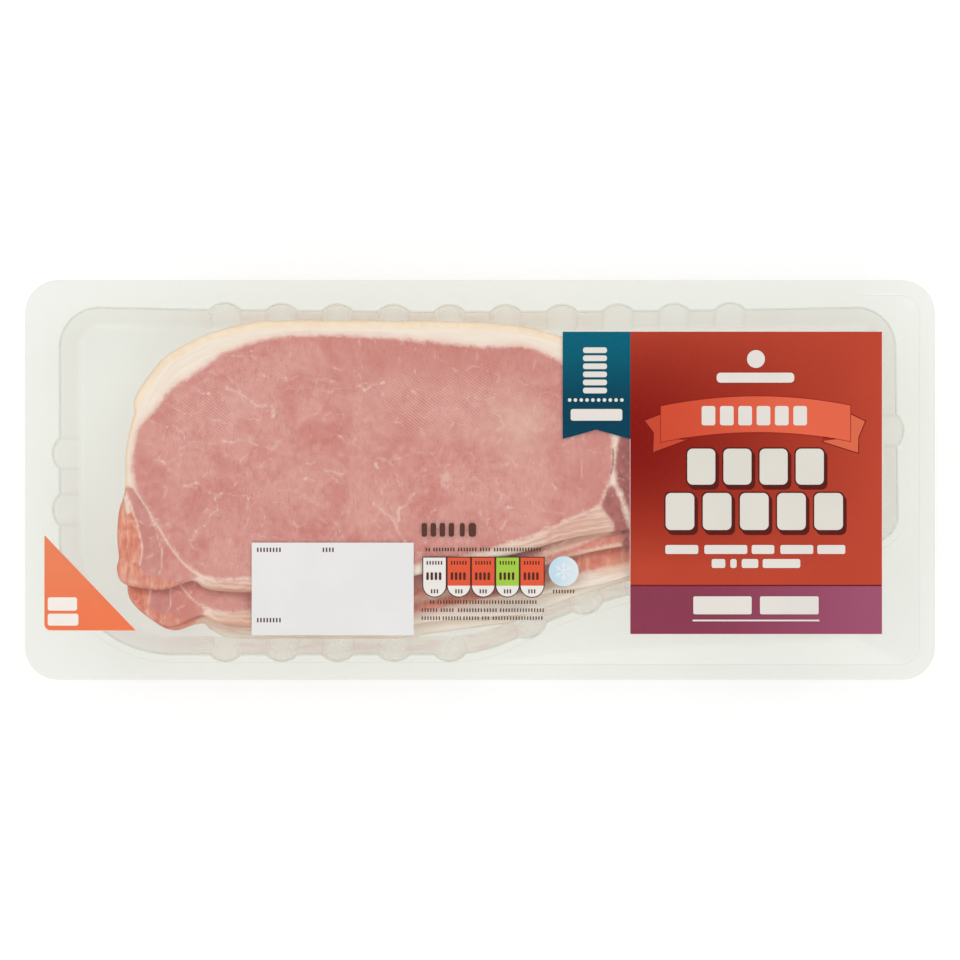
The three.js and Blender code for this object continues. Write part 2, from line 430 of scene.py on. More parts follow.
def clear_plastic(name, tint, milky, haze, edge, roughness):
    """Clear sheet: see-through with a tint, milky where seen on edge and glossy, with painted shade as darker
    milky lines along its creases.

    Beside the meat, where a painted reflection of the meat is marked, its milkiness takes on the colour of
    lean and fat.
    """
    material, start = new_material(name)
    crease_shade = marked(start, "crease_shade")
    meat_reflection = marked(start, "meat_reflection")
    facing = start.add("ShaderNodeLayerWeight", {}, {"Blend": 0.5}, "Facing")
    cloud = noise(object_place(start), 0.03, 2)
    colour = mix(cloud, milky, paint(246, 246, 243))
    streaks = ease(noise(object_place(start, (1, 3.5, 1)), 0.009, 3), 0.42, 0.64)
    front = mix(streaks, paint(255, 240, 222), paint(245, 203, 180))
    back = mix(streaks, paint(255, 231, 196), paint(253, 213, 172))
    # painted reflection of the meat, in front and back colours
    colour = mix(ease(meat_reflection, 0, 0.6), colour, mix(marked(start, "back"), front, back))
    # painted shade: a darker milky line along the creases
    colour = mix(crease_shade, colour, paint(150, 146, 126))
    through = start.add("ShaderNodeBsdfTransparent", {}, {"Color": tint})
    cloudy = surface(start, {"Base Color": colour, "Roughness": 0.4 + 0.1 * cloud, "Specular IOR Level": 0.2})
    gloss = start.add("ShaderNodeBsdfGlossy", {}, {"Roughness": roughness})
    share = haze + edge * facing ** 2 + 0.5 * crease_shade + 0.58 * meat_reflection
    clouded = start.add("ShaderNodeMixShader", {}, {0: share, 1: through, 2: cloudy})
    finish_material(start.add("ShaderNodeMixShader", {}, {
        0: 0.015 + 0.08 * facing ** 4, 1: clouded, 2: gloss}))
    return material


tray.data.materials.append(clear_plastic(
    "clear tray plastic", tint=paint(248, 248.5, 246.5), milky=paint(224, 224, 208),
    haze=0.02, edge=0.1, roughness=0.08))
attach(tray, "root")
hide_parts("tray")


# RASHERS
# Six thick slices cut across a cured loin of pork: the round eye of lean, side muscles at its end,
# a cap of firm fat under the rind, and the streaky tail. They lie shingled, each slipped forward.
SLICE = 3.4
SLICE_ROUND = 0.8
SLICE_PITCH = 3.7
STACK_Z = 0.9
GRID = (0.6, 0.75, 1.2, 1.2, 1.2, 1.2)
RIDE = 7.4
RASHER_EDGE = [
    (24.5, 43.1), (18.2, 44.9), (9.5, 46.6), (-7.7, 47.6), (-25, 47.7), (-53.9, 47.9), (-67.2, 47.5),
    (-74.6, 46), (-81.8, 43.9), (-89, 40.4), (-94.5, 37.1), (-100, 30.5), (-103.6, 24.8), (-104, 21.8),
    (-103.5, 20.8), (-104.3, 18.2), (-106, 11), (-106.4, 5.6), (-106.7, -3.4), (-108.4, -9.4),
    (-108.9, -18.8), (-108.4, -23.2), (-109.1, -26.8), (-107.5, -30.8), (-101.1, -32.6), (-94.6, -32.9),
    (-88.4, -30.8), (-86, -30.2), (-82.6, -32.5), (-68.9, -33.8), (-44.9, -33), (-17.9, -28.4),
    (11.6, -22), (27, -17.6), (41, -15.4), (62, -14.8), (86, -11), (107, -6), (116.2, 2),
    (117, 13.5), (109, 22.5), (86, 29.5), (56, 36),
]
LOW_CORNER_KNOTS = slice(21, 26)
LOW_CORNER = [(-108.6, -23.5), (-106.6, -26.8), (-103.5, -29.8), (-99.6, -32.6), (-95.2, -33.6)]
EYE = [
    (-104.1, 3.6), (-104, 9.2), (-101.9, 16.4), (-98.3, 20), (-92.7, 27.2), (-85.4, 32), (-78.2, 37.2),
    (-71.6, 40.1), (-63.5, 42.3), (-53.9, 43.4), (-30.8, 42.8), (-13.4, 41.3), (1.5, 39.9), (14.1, 39.8),
    (24.5, 35.1), (33.2, 28.4), (38, 19.4), (39.8, 8.9), (39.5, 1.7), (38, -2.6), (35.6, -7.7),
    (28.1, -11.3), (18.2, -16.1), (11.6, -17.9), (0.2, -21.6), (-17.9, -25.2), (-41.9, -28.4),
    (-59.9, -29.5), (-68.9, -29.3), (-80.6, -29.4), (-85.4, -27.2), (-91.5, -21.2), (-97, -12.8),
    (-103.3, -1.9),
]
OUTER_STRIP = [
    (-106.3, -3), (-104.7, -7.6), (-102.8, -12.8), (-101.6, -17), (-101.2, -21), (-101.8, -25),
    (-102.6, -27.8), (-106, -28.6), (-109, -27), (-109.4, -21.1), (-109.2, -16.6), (-108.6, -11.5),
    (-107.5, -7),
]
RED_STRIP = [
    (-105.6, -3), (-103.8, -3.4), (-100.6, -7.4), (-97.8, -12), (-96, -16.3), (-95.2, -21.8),
    (-95.3, -25.9), (-96, -29), (-99, -29), (-101.6, -27), (-101.4, -21), (-101.8, -16.3),
    (-103, -12.2), (-104.8, -7.6),
]
WEDGE = [
    (-97, -13), (-94, -17.6), (-91, -21.8), (-87.6, -25.8), (-86, -28.4), (-88.4, -30.2),
    (-92.8, -31), (-95.6, -30), (-95.6, -25.9), (-95.4, -21.8), (-96.2, -17.2),
]
LOW_LOBE = [
    (-109.8, -26.6), (-106, -27.4), (-102.2, -26.6), (-98.8, -27.6), (-95.4, -29), (-91, -30), (-89.4, -31.2),
    (-94, -34.6), (-102.5, -34.6), (-107.5, -33), (-110.4, -30),
]
TAIL_BACK = [
    (45.5, 30), (60, 29), (80, 24), (97, 18.5), (107, 14), (102, 12.5), (86, 16.5), (68, 20.5),
    (54, 22.5), (44, 22),
]
TAIL_MIDDLE_LEAN = [
    (43, 16), (60, 15), (80, 11.5), (100, 8), (111, 6.5), (106, 3.2), (90, 4.5), (70, 2), (60, -5),
    (52, -11), (47.4, -14), (45.4, -10), (43.6, -5.6), (41.9, -1.8), (41, 2), (41.2, 7), (42, 12),
]
TAIL_FRONT = [
    (48, -9), (56, -2.5), (68, 1.5), (80, -0.5), (98, -2.6), (103, -5), (86, -7.5), (66, -10.5),
    (50, -11.5),
]
CORNER_LEAN = [
    (39.6, -2.2), (40.9, -4.6), (42.2, -8), (43.6, -12), (44.8, -16.5), (41.4, -16.5), (40.2, -12.4),
    (38.2, -10.2), (37, -7.6), (37.8, -4.4),
]
FLANK = [
    (-48, -32.4), (-30, -30.2), (-18, -28), (-3, -25), (11, -21.6), (27, -17.2), (41, -15), (60, -14.2),
    (60, -8), (46, -9), (37, -11.6), (27, -14.8), (17, -17.6), (8, -19.6), (-3, -21), (-12, -20.5),
    (-30, -22.5), (-48, -24),
]
LOW_FLANK = [
    (-46, -31), (-30, -28.5), (-10, -24.5), (6, -20.5), (16, -17.5), (24, -15), (33, -12.5), (44, -11),
    (60, -10.5), (60, -17.5), (44, -18.5), (38, -19.5), (29, -21.5), (20, -23.5), (8, -26.5),
    (-12, -30.6), (-30, -33.2), (-46, -34.5),
]
LAY_MEASURES = ("x", "y", "turn", "fat", "skirt", "phase", "uneven")
LAY = [dict(zip(LAY_MEASURES, values)) for values in (
    (0, 0, 0, 0, 0, 0, 0),
    (1.2, -6.2, 2.9, 0.5, 0, 0.9, 0.4),
    (2.8, -8, 1.8, 8, 2, 2.1, 0.6),
    (3.6, -9, 0.9, 14, 5, 3.4, 0.7),
    (3.2, -9.4, 0.6, 18, 7.5, 4.4, 0.6),
    (3.4, -9.4, 0.4, 20, 8.5, 5.5, 0.5),
)]
VEINS = [
    (0.9, [(-81.5, 32.5), (-78.8, 31.9)]),
    (1.2, [(-36, 28.6), (-34.4, 27.4)]),
    (0.9, [(-20.8, 27.2), (-19.6, 26.2)]),
    (1, [(-31.2, 4.6), (-30.6, 3.4)]),
    (0.8, [(-1.6, 0.6), (0.4, -1.2)]),
    (0.9, [(21.4, -1.2), (22.6, -2.6)]),
    (1, [(7.4, -8.2), (9.6, -8.6)]),
    (0.8, [(-42.6, 13.6), (-40.4, 12.4)]),
    (0.8, [(-52.4, 0.4), (-50.4, -0.6)]),
    (0.7, [(-86.4, 27.6), (-84, 26.4), (-81.6, 26)]),
    (0.7, [(-45, -12), (-42, -14.6), (-41.2, -18)]),
    (0.9, [(-76.5, 28.6), (-71.5, 25.3), (-67.2, 22.6), (-62.8, 22.1), (-61.9, 18.8)]),
    (0.6, [(-62.2, 33), (-59.5, 30.8), (-54.1, 30.8), (-48.1, 30.1), (-41.9, 29.2)]),
    (0.6, [(-92, 12.2), (-87.5, 11.8), (-90.1, 8.5), (-90.1, 3.4), (-91.6, 2.5)]),
    (0.6, [(-87.5, 11.2), (-79.6, 11.2), (-72.8, 11.8), (-67.6, 11.2)]),
    (0.7, [(-96.8, 6), (-91.6, 3), (-90.1, -1.3), (-85.6, -1.3), (-82, -2.9), (-78.8, -4.3), (-70.5, -4.6),
           (-68.8, -9)]),
    (0.6, [(-78.8, -4.6), (-79.3, -9.4), (-81.5, -12.2), (-87.5, -18.1)]),
    (0.5, [(-64, -0.8), (-60.1, -2.5), (-56.2, -3.4), (-54.1, -5.2), (-47.2, -5.2)]),
    (0.8, [(-35.2, 27), (-32.5, 28.1), (-28.6, 29.8)]),
    (0.6, [(-16.9, 3), (-16.2, -4)]),
    (1, [(-31.5, -7.3), (-27.8, -10), (-25.1, -12.8)]),
    (1, [(-25.1, -12.8), (-23.8, -8.5), (-19.5, -4.3)]),
    (1.1, [(-25.1, -12.8), (-24.1, -16.1), (-22.6, -18.4)]),
    (0.8, [(15.8, -16.4), (24, -13), (30, -10), (36.5, -8)]),
]
SEAMS = [
    (1.5, [(-106.5, -5), (-105.9, -7.4), (-105.5, -9.6)]),
    (1, [(-106, -1.2), (-103.7, -2.6), (-100.6, -7.6), (-97.4, -12.8), (-94.7, -17.2), (-92, -21.4),
         (-89, -24.9), (-86, -27.6), (-82.6, -29.4)]),
    (0.9, [(-106.4, -3.4), (-105.2, -6.6), (-103.2, -12), (-101.8, -17.4), (-101.3, -22), (-102.2, -25.4)]),
    (0.75, [(-99.4, -10), (-97.2, -15.4), (-95.6, -21), (-95.4, -25), (-96.2, -28)]),
    (0.5, [(-108.4, -27), (-105, -28), (-101.8, -26.8), (-97.6, -28.6), (-93, -29.8), (-87.6, -29)]),
]
# darker lines along creases in the meat: painted shade
SHADED_CREASES = [
    (0.5, [(-103.9, 21.2), (-102.6, 22.2), (-101.2, 23)]),
    (1.1, [(39.8, 9.4), (40.1, 6.6), (39.8, 4), (39.2, 1.8)]),
    (0.6, [(-100.5, -28.6), (-97, -30.6), (-92.5, -31.5), (-88.6, -30)]),
    (0.6, [(38.4, -5), (33, -10), (24.5, -14.6), (16.5, -18.6)]),
]


def smooth_loop(knots, steps=10):
    """A smooth closed line through some points."""
    knots = np.array(knots, float)
    before, after, later = (np.roll(knots, k, axis=0) for k in (1, -1, -2))
    reach = [np.sqrt(np.linalg.norm(b - a, axis=1))[:, None]
             for a, b in ((before, knots), (knots, after), (after, later))]
    leave = ((knots - before) / reach[0] - (after - before) / (reach[0] + reach[1])
             + (after - knots) / reach[1]) * reach[1]
    arrive = ((after - knots) / reach[1] - (later - knots) / (reach[1] + reach[2])
              + (later - after) / reach[2]) * reach[1]
    line = []
    for t in np.arange(steps) / steps:
        line.append(knots + leave * t + (3 * (after - knots) - 2 * leave - arrive) * t ** 2
                    + (2 * (knots - after) + leave + arrive) * t ** 3)
    return np.stack(line, axis=1).reshape(-1, 2)


def turned(points, degrees):
    angle = math.radians(degrees)
    spin = np.array([[math.cos(angle), math.sin(angle)], [-math.sin(angle), math.cos(angle)]])
    return points @ spin


def inside(points, path):
    """Whether each point is inside a closed path."""
    x, y = points[:, 0][:, None], points[:, 1][:, None]
    ax, ay = path.T
    bx, by = np.roll(path, -1, axis=0).T
    crosses = (ay > y) != (by > y)
    at = ax + (y - ay) * (bx - ax) / np.where(by == ay, 1e-9, by - ay)
    return ((crosses & (x < at)).sum(1) % 2) == 1


def depth_in(points, path):
    """Distance inside a closed path, and less than nothing outside it."""
    distance = nearest(points, path)[0]
    return np.where(inside(points, path), distance, -distance)


def rasher_edge(lay, low, count=420):
    """A rasher's edge where it lies: uneven, with its own fat, and held in by the tray's wall."""
    knots = list(RASHER_EDGE)
    if lay["uneven"]:
        knots[LOW_CORNER_KNOTS] = LOW_CORNER
    points, out = stations(smooth_loop(knots), count)
    round_ = np.arange(count) / count * 2 * math.pi
    forward = np.maximum(0, -out[:, 1])
    under = forward * (lay["fat"] * np.exp(-((points[:, 0] - 33) / 29) ** 2)
                       + lay["skirt"] * np.exp(-((points[:, 0] + 38) / 52) ** 4))
    wave = np.sin(5 * round_ + lay["phase"]) + 0.6 * np.sin(9 * round_ + 2 * lay["phase"]) - 1
    ragged = points + out * (lay["uneven"] * wave + under)[:, None]
    laid = turned(ragged, lay["turn"]) + (lay["x"], lay["y"])
    up = np.clip((low - SHEET - FOOT_ROUND) / (RIM_Z - SHEET - FOOT_ROUND), 0, 1)
    wall = rim - rim_out * (DRAFT * (1 - up) + 0.45 + FOOT_ROUND * (low < 2))
    over = depth_in(laid, wall) < 0
    _, at, share = nearest(laid[over], wall)
    laid[over] = wall[at] * (1 - share)[:, None] + np.roll(wall, -1, axis=0)[at] * share[:, None]
    return stations(laid, count)


def cut_slice(name, edge, out, low, cell):
    """A slice of one thickness: a grid trimmed to the edge, copied down and bridged to it."""
    flat = edge - out * SLICE_ROUND
    corner, far = flat.min(0) - 1, flat.max(0) + 1
    size = far - corner
    middle = (corner + far) / 2
    bpy.ops.object.select_all(action="DESELECT")
    bpy.ops.mesh.primitive_grid_add(
        x_subdivisions=round(size[0] / cell), y_subdivisions=round(size[1] / cell), size=1,
        calc_uvs=False, enter_editmode=True)
    piece = bpy.context.object
    piece.name = name
    bpy.ops.transform.resize(value=(size[0] * MM, size[1] * MM, 1))
    bpy.ops.transform.translate(value=(middle[0] * MM, middle[1] * MM, (low + SLICE) * MM))
    mesh = bmesh.from_edit_mesh(piece.data)
    centres = np.array([face.calc_center_median()[:2] for face in mesh.faces]) / MM
    keep = inside(centres, flat)
    bpy.ops.mesh.select_mode(type="FACE")
    for face, kept in zip(mesh.faces, keep):
        face.select_set(not kept)
    bmesh.update_edit_mesh(piece.data)
    bpy.ops.mesh.delete(type="FACE")
    mesh = bmesh.from_edit_mesh(piece.data)
    border = [vertex for vertex in mesh.verts if vertex.is_boundary]
    _, segment, share = nearest(np.array([vertex.co[:2] for vertex in border]) / MM, flat)
    ahead = np.roll(flat, -1, axis=0)
    for vertex, at, part in zip(border, segment, share):
        vertex.co[:2] = (flat[at] * (1 - part) + ahead[at] * part) * MM
    bmesh.update_edit_mesh(piece.data)
    bpy.ops.mesh.select_mode(type="EDGE")
    bpy.ops.mesh.select_all(action="SELECT")
    bpy.ops.mesh.duplicate()
    bpy.ops.transform.translate(value=(0, 0, -SLICE * MM))
    bpy.ops.mesh.select_all(action="DESELECT")
    mesh = bmesh.from_edit_mesh(piece.data)
    for border_edge in mesh.edges:
        border_edge.select_set(border_edge.is_boundary)
    bmesh.update_edit_mesh(piece.data)
    bpy.ops.mesh.bridge_edge_loops(number_cuts=4, interpolation="LINEAR")
    face_outwards()
    bpy.ops.object.mode_set(mode="OBJECT")
    places = places_of(piece)
    height = (places[:, 2] - low) / SLICE
    rim_rows = (height > 0.02) & (height < 0.98)
    _, segment, _ = nearest(places[rim_rows, :2], flat)
    bulge = np.sqrt(np.maximum(0, 1 - (2 * height[rim_rows] - 1) ** 4))
    places[rim_rows, :2] += out[segment] * (SLICE_ROUND * bulge)[:, None]
    return piece, places, height


MUSCLES = [
    (EYE, 0, 0), (OUTER_STRIP, 1, 0.9), (RED_STRIP, -0.15, 0.9), (WEDGE, 0.15, 0.9), (LOW_LOBE, 0.8, 0.4),
    (TAIL_BACK, 0.3, 0), (TAIL_MIDDLE_LEAN, -1, 0.5), (TAIL_FRONT, 0.3, 0), (CORNER_LEAN, -0.9, 0.5),
]


def near_lines(points, lines, reach):
    """1 on any of some drawn lines, fading to 0 at their reach, times each line's strength."""
    near = np.zeros(len(points))
    for strength, line in lines:
        for a, b in zip(line[:-1], line[1:]):
            box = (points > np.minimum(a, b) - reach).all(1) & (points < np.maximum(a, b) + reach).all(1)
            distance = nearest(points[box], np.array([a, b]))[0]
            near[box] = np.maximum(near[box], strength * np.clip(1 - distance / reach, 0, 1))
    return near


def patch(points, x, y, wide, tall, power=2):
    """1 in the middle of an oval patch, fading out round it, and more sharply for a higher power."""
    return np.exp(-((points[:, 0] - x) / wide) ** power - ((points[:, 1] - y) / tall) ** power)


def mark_flesh(piece, places, lay, number, edge):
    """Marks where the lean, the rind, the veins and the tints are, where shade, light and sheen are painted,
    and gives the depth in the lean.
    """
    own = turned(places[:, :2] - (lay["x"], lay["y"]), -lay["turn"])
    muscles = list(MUSCLES)
    if number == 2:
        muscles.append((FLANK, 0.5, 0))
    if number == 3:
        muscles.append((LOW_FLANK, 0.9, -0.9))
    lean = np.full(len(own), -99.0)
    side = np.zeros(len(own))
    for outline, kind, grow in muscles:
        depth = depth_in(own, smooth_loop(outline, 5)) + grow
        side = np.where(depth > lean, kind, side)
        lean = np.maximum(lean, depth)
    to_edge = nearest(places[:, :2], edge)[0]
    knot = nearest(own, smooth_loop(RASHER_EDGE))[1] / 10
    rinded = (knot < 13) | (knot > 39.5)
    wander = np.column_stack([
        np.sin(1.1 * own[:, 1] + 0.3 * own[:, 0]), np.sin(0.9 * own[:, 0] + 0.5 * own[:, 1])])
    # streaks in the fat, partly painted shade between the edges of stacked slices
    streaks_and_shade = patch(own, 27, -15, 17, 8, 4) + 1.2 * patch(own, -60, -34, 34, 4.2, 4)
    deep = np.clip((own[:, 1] - 24) / 9, 0, 1) * np.exp(-((own[:, 0] + 10) / 36) ** 4) * 0.8
    for x, y, wide, tall, strength in (
            (33, 0, 8, 10, 0.8), (-18, 18, 9, 6, 0.5), (-72, -10, 15, 6, 0.45), (-96, -4, 5, 10, 0.4),
            (46, -17, 9, 6, 0.9)):
        deep += strength * patch(own, x, y, wide, tall)
    marks = {
        "lean": lean,
        "side": side,
        "rind": np.where(rinded, to_edge, np.where(knot < 19.5, to_edge + 1.3, 99)),
        "edge": to_edge,
        "vein": near_lines(own + 0.4 * wander, VEINS, 0.9),
        "seam": near_lines(own + 0.1 * wander, SEAMS, 1),
        "dark": near_lines(own, SHADED_CREASES, 0.8),
        "streaks_and_shade": streaks_and_shade * (1, 1, 0.6, 0.2, 0, 0)[number - 1],
        # pale: a painted sheen where the film touches the lean, and a pale spot in the outer strip
        "pale": patch(own, 12, 16, 10, 8) + 1.2 * patch(own, -105.9, -7.4, 1.2, 2.8),
        "hatch": patch(own, -82, 21, 13, 9, 4) + patch(own, -11, 23, 26, 11, 4),
        "deep": deep,
        # under: how far down the stack a slice lies, for painted shade on its lean and painted light on its
        # fat
        "under": np.full(len(own), min(number - 1, 2) / 2),
    }
    for name, values in marks.items():
        set_attribute(piece, name, values)
    set_attribute(piece, "flesh", np.column_stack([own, places[:, 2] + 17 * number]), "FLOAT_VECTOR")
    return lean


def flesh_material():
    """Cured pork: mottled pink lean with broken white veins, cream fat in layers, and peach rind, with some
    light and shade painted in.
    """
    material, start = new_material("cured pork")

    def mark(name):
        return marked(start, name)

    def stretched(scale, turn=0):
        return start.add("ShaderNodeMapping", {},
                         {"Vector": flesh, "Scale": scale, "Rotation": (0, 0, math.radians(turn))})

    flesh = marked(start, "flesh", "Vector")
    fine = noise(flesh, 0.7, 3, 0.7)
    grain = noise(stretched((1, 0.3, 1)), 0.5, 2, 0.6)
    soft = noise(flesh, 2.8, 5, 0.62)
    broad = noise(flesh, 17, 3)
    feather = mark("lean") + (grain - 0.5) * 0.5 + (fine - 0.5) * 0.6 + (soft - 0.5) * 2.4
    seam = ease(mark("seam") + (grain - 0.5) * 0.5, 0.38, 0.95) * 0.8
    in_lean = ease(feather, -0.9, 1) * (1 - seam)

    # the lean
    lean = mix(ease(broad, 0.36, 0.62), paint(208, 124, 116), paint(219, 148, 139))
    lean = mix(ease(soft, 0.38, 0.66) * 0.5, lean, paint(227, 165, 155))
    lean = mix(ease(noise(flesh, 10, 3), 0.5, 0.68) * 0.45, lean, paint(200, 104, 94))
    lean = mix(ease(feather, 4.5, 0.6) * 0.15, lean, paint(205, 110, 99))
    lean = mix(ease(grain, 0.5, 0.74) * 0.4, lean, paint(182, 90, 84))
    lean = mix(ease(fine, 0.5, 0.26) * 0.4, lean, paint(236, 184, 174))
    # painted shade: the lean of lower slices, lying under the others, is darker
    lean = mix(mark("under") * 0.12, lean, paint(194, 100, 90))
    lean = mix(mark("deep") * (0.35 + 0.6 * grain), lean, paint(199, 108, 98))
    along = noise(stretched((1, 0.16, 1), 12), 1, 3, 0.6)
    lobe = mix(ease(soft, 0.35, 0.6), paint(213, 110, 84), paint(229, 144, 117))
    lobe = mix(ease(along, 0.5, 0.66) * 0.5, lobe, paint(246, 196, 166))
    lobe = mix(ease(along, 0.44, 0.3) * 0.5, lobe, paint(200, 88, 68))
    # painted shade: the side muscles of lower slices are darker too
    lobe = mix(mark("under") * 0.15, lobe, paint(206, 104, 88))
    lean = mix(mark("side"), lean, lobe)
    lean = mix(mark("side") * -1, lean, mix(ease(soft, 0.35, 0.65), paint(150, 66, 62), paint(176, 94, 88)))
    # painted sheen where the film touches the lean, and a pale spot of tissue at the outer strip
    lean = mix(mark("pale") * (0.2 + 0.9 * soft), lean, paint(228, 180, 164))
    stripe = start.add("ShaderNodeTexWave", {"wave_type": "BANDS", "bands_direction": "X"}, {
        "Vector": stretched((1, 1, 1), -52), "Scale": 0.4, "Distortion": 0.7, "Detail": 1,
        "Detail Scale": 0.3}, "Fac")
    lean = mix(stripe * mark("hatch") * 0.4, lean, paint(236, 188, 178))

    # its veins and flecks
    push = start.add("ShaderNodeTexNoise", {}, {
        "Vector": flesh, "Scale": 0.16, "Detail": 5, "Roughness": 0.6}, "Color")
    bent = start.add("ShaderNodeVectorMath", {"operation": "MULTIPLY_ADD"}, {0: push, 1: (7, 7, 0), 2: flesh})
    cells = start.add("ShaderNodeTexVoronoi", {"feature": "DISTANCE_TO_EDGE"},
                      {"Vector": bent, "Scale": 1 / 11}, "Distance")
    broken = noise(flesh, 4, 3, 0.6)
    blotch = noise(flesh, 1.7, 2, 0.6)
    line = ease(cells, 0.028, 0.004) * ease(broken, 0.46, 0.6) * 0.42
    knot = ease(cells, 0.08, 0.01) * ease(blotch, 0.64, 0.76) * 0.8
    drawn = ease(mark("vein") + (fine - 0.5) * 0.9, 0.22, 0.85) * 0.8
    drawn = drawn * (0.25 + 0.75 * ease(broken, 0.42, 0.58))
    drawn_knot = ease(mark("vein"), 0.05, 0.6) * ease(blotch, 0.54, 0.68)
    fleck = ease(noise(stretched((1, 0.35, 1)), 1, 2, 0.5), 0.67, 0.78) * 0.55
    vein = line
    for other in (knot, drawn, drawn_knot, fleck):
        vein = vein.math("MAXIMUM", vein, other)
    lean = mix(vein * 0.7, lean, paint(244, 212, 204))

    # the fat and the rind
    from_edge = start.add("ShaderNodeCombineXYZ", {}, {"X": mark("edge") + soft * 1.6, "Y": broad * 4})
    layers = noise(from_edge, 0.9)
    fat = mix(ease(layers, 0.35, 0.75) * 0.5, paint(251, 236, 222), paint(243, 217, 201))
    fat = mix(ease(feather, -2.4, -0.2) * 0.6, fat, paint(242, 206, 194))
    # painted light: the fat of lower slices is lighter, against the shade of the stack above
    fat = mix(mark("under") * 0.6, fat, paint(255, 249, 240))
    # streaks in the fat: a tan ground with pinkish-brown bands and dark lines, partly painted shade between
    # stacked slice edges
    streak_and_shade = mark("streaks_and_shade") * ease(mark("lean"), 0.2, -0.8)
    fat = mix(streak_and_shade * 0.8, fat, paint(232, 184, 164))
    fat = mix(streak_and_shade * ease(layers, 0.36, 0.7) * 0.65, fat, paint(206, 132, 114))
    fat = mix(streak_and_shade * ease((layers - 0.53) ** 2, 0.002, 0.0) * 0.2, fat, paint(176, 108, 90))
    # painted glow: a peach tint on the lower slices' fat near the lean, for light through thin fat
    glow = ease(mark("lean"), -4.5, -0.5) * ease(broad, 0.3, 0.55)
    fat = mix(mark("under") * glow * 0.55, fat, paint(244, 196, 156))
    rind = mix(ease(soft, 0.35, 0.65), paint(255, 234, 210), paint(252, 225, 197))
    fat = mix(ease(mark("rind") + (fine - 0.5) * 0.6, 2.7, 1.7), fat, rind)
    skin = ease(mark("edge") + (fine - 0.5) * 0.5, 0.6, 0.05) * 0.3
    fat = mix(skin, fat, paint(232, 186, 142))
    fat = mix(seam, fat, paint(246, 220, 210))
    colour = mix(in_lean, fat, lean)
    # painted shade along the creases
    dark = ease(mark("dark") + (fine - 0.5) * 0.4, 0.35, 0.95) * mark("dark") * 0.8
    colour = mix(dark, colour, paint(140, 78, 66))

    height = fine * 0.4 + soft * 0.6 + vein * 0.2 + in_lean * -0.35
    relief = start.add("ShaderNodeBump", {}, {"Height": height, "Distance": 0.0003, "Strength": 0.8})
    finish_material(surface(start, {
        "Base Color": colour, "Roughness": 0.5 - 0.12 * in_lean + 0.1 * fine, "Normal": relief,
        "Specular IOR Level": 0.35}))
    return material


def ride_up(points, top_edge, top_out):
    """How far the front of a slice rides up the tray's wall, beyond the top slice's edge."""
    away, at, _ = nearest(points, top_edge)
    beyond = np.where(inside(points, top_edge), 0, away)
    gap = nearest(points, rim)[0]
    return RIDE * beyond / (beyond + gap + 0.01) * np.clip(-top_out[at, 1], 0, 1) ** 0.5


pork = flesh_material()
top_edge, top_out = rasher_edge(LAY[0], STACK_Z + 5 * SLICE_PITCH)
for number, lay in enumerate(LAY, 1):
    low = STACK_Z + (len(LAY) - number) * SLICE_PITCH
    edge, out = rasher_edge(lay, low)
    rasher, places, height = cut_slice(f"rasher_{number}_slice", edge, out, low, GRID[number - 1])
    lean = mark_flesh(rasher, places, lay, number, edge)
    x, y = places[:, 0], places[:, 1]
    sway = 0.06 * np.sin(x / 9 + number) + 0.05 * np.sin(y / 7 + 2 * number + x / 31)
    seam = np.exp(-(lean / 0.7) ** 2) * np.clip(height, 0, 1)
    places[:, 2] += sway - 0.22 * seam * (height > 0.9)
    if number > 1:
        places[:, 2] += ride_up(places[:, :2], top_edge, top_out)
    put_at(rasher, places)
    bpy.ops.object.shade_smooth()
    rasher.data.materials.append(pork)
    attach(rasher, "root")
    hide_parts(f"rasher_{number}")


# FILM
# A thin clear plastic film, heat-sealed to the flange all round and pulled flat by the gas in the
# pack. Where it isn't printed it waves a little over the cavity.
FILM_Z = 23.42
FILM_SHEET = 0.1
FILM_STATIONS = 240
FILM_CUT = 4


def film_wave(x, y):
    """How far the film rises: nothing on the flange and under the large print."""
    over = np.clip(np.minimum((126 - np.abs(x)) / 14, (52 - np.abs(y)) / 10), 0, 1)
    clear_of_label = np.clip((18 - x) / 18, 0, 1)
    clear_of_price = np.clip((y + 14) / 10, 0, 1) + np.clip((-74 - x) / 8, 0, 1)
    waves = np.sin(x / 8.5 + 0.4 * np.sin(y / 11)) * np.sin(y / 21 + 1) + 0.6 * np.sin((x + 2 * y) / 17)
    return 0.07 * over * over * clear_of_label * np.minimum(1, clear_of_price) * waves


film_edge = stations(pack_edge(), FILM_STATIONS)[0]
film = skin_through("film_sheet", [np.column_stack([film_edge, np.full(FILM_STATIONS, FILM_Z)]) * MM])
bpy.ops.mesh.select_all(action="SELECT")
bpy.ops.mesh.edge_face_add()
bpy.ops.mesh.extrude_region_move(TRANSFORM_OT_translate={"value": (0, 0, FILM_SHEET * MM)})
face_outwards()
for y in range(-54, 56, FILM_CUT):
    bpy.ops.mesh.select_all(action="SELECT")
    bpy.ops.mesh.bisect(plane_co=(0, y * MM, 0), plane_no=(0, 1, 0))
for x in range(-132, 134, FILM_CUT):
    bpy.ops.mesh.select_all(action="SELECT")
    bpy.ops.mesh.bisect(plane_co=(x * MM, 0, 0), plane_no=(1, 0, 0))
bpy.ops.object.mode_set(mode="OBJECT")
places = places_of(film)
places[:, 2] += film_wave(places[:, 0], places[:, 1])
put_at(film, places)
bpy.ops.object.shade_smooth_by_angle(angle=math.radians(30))
film.data.materials.append(clear_plastic(
    "clear film", tint=paint(254, 254.5, 253.5), milky=paint(240, 240, 235),
    haze=0.012, edge=0.03, roughness=0.06))
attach(film, "root")
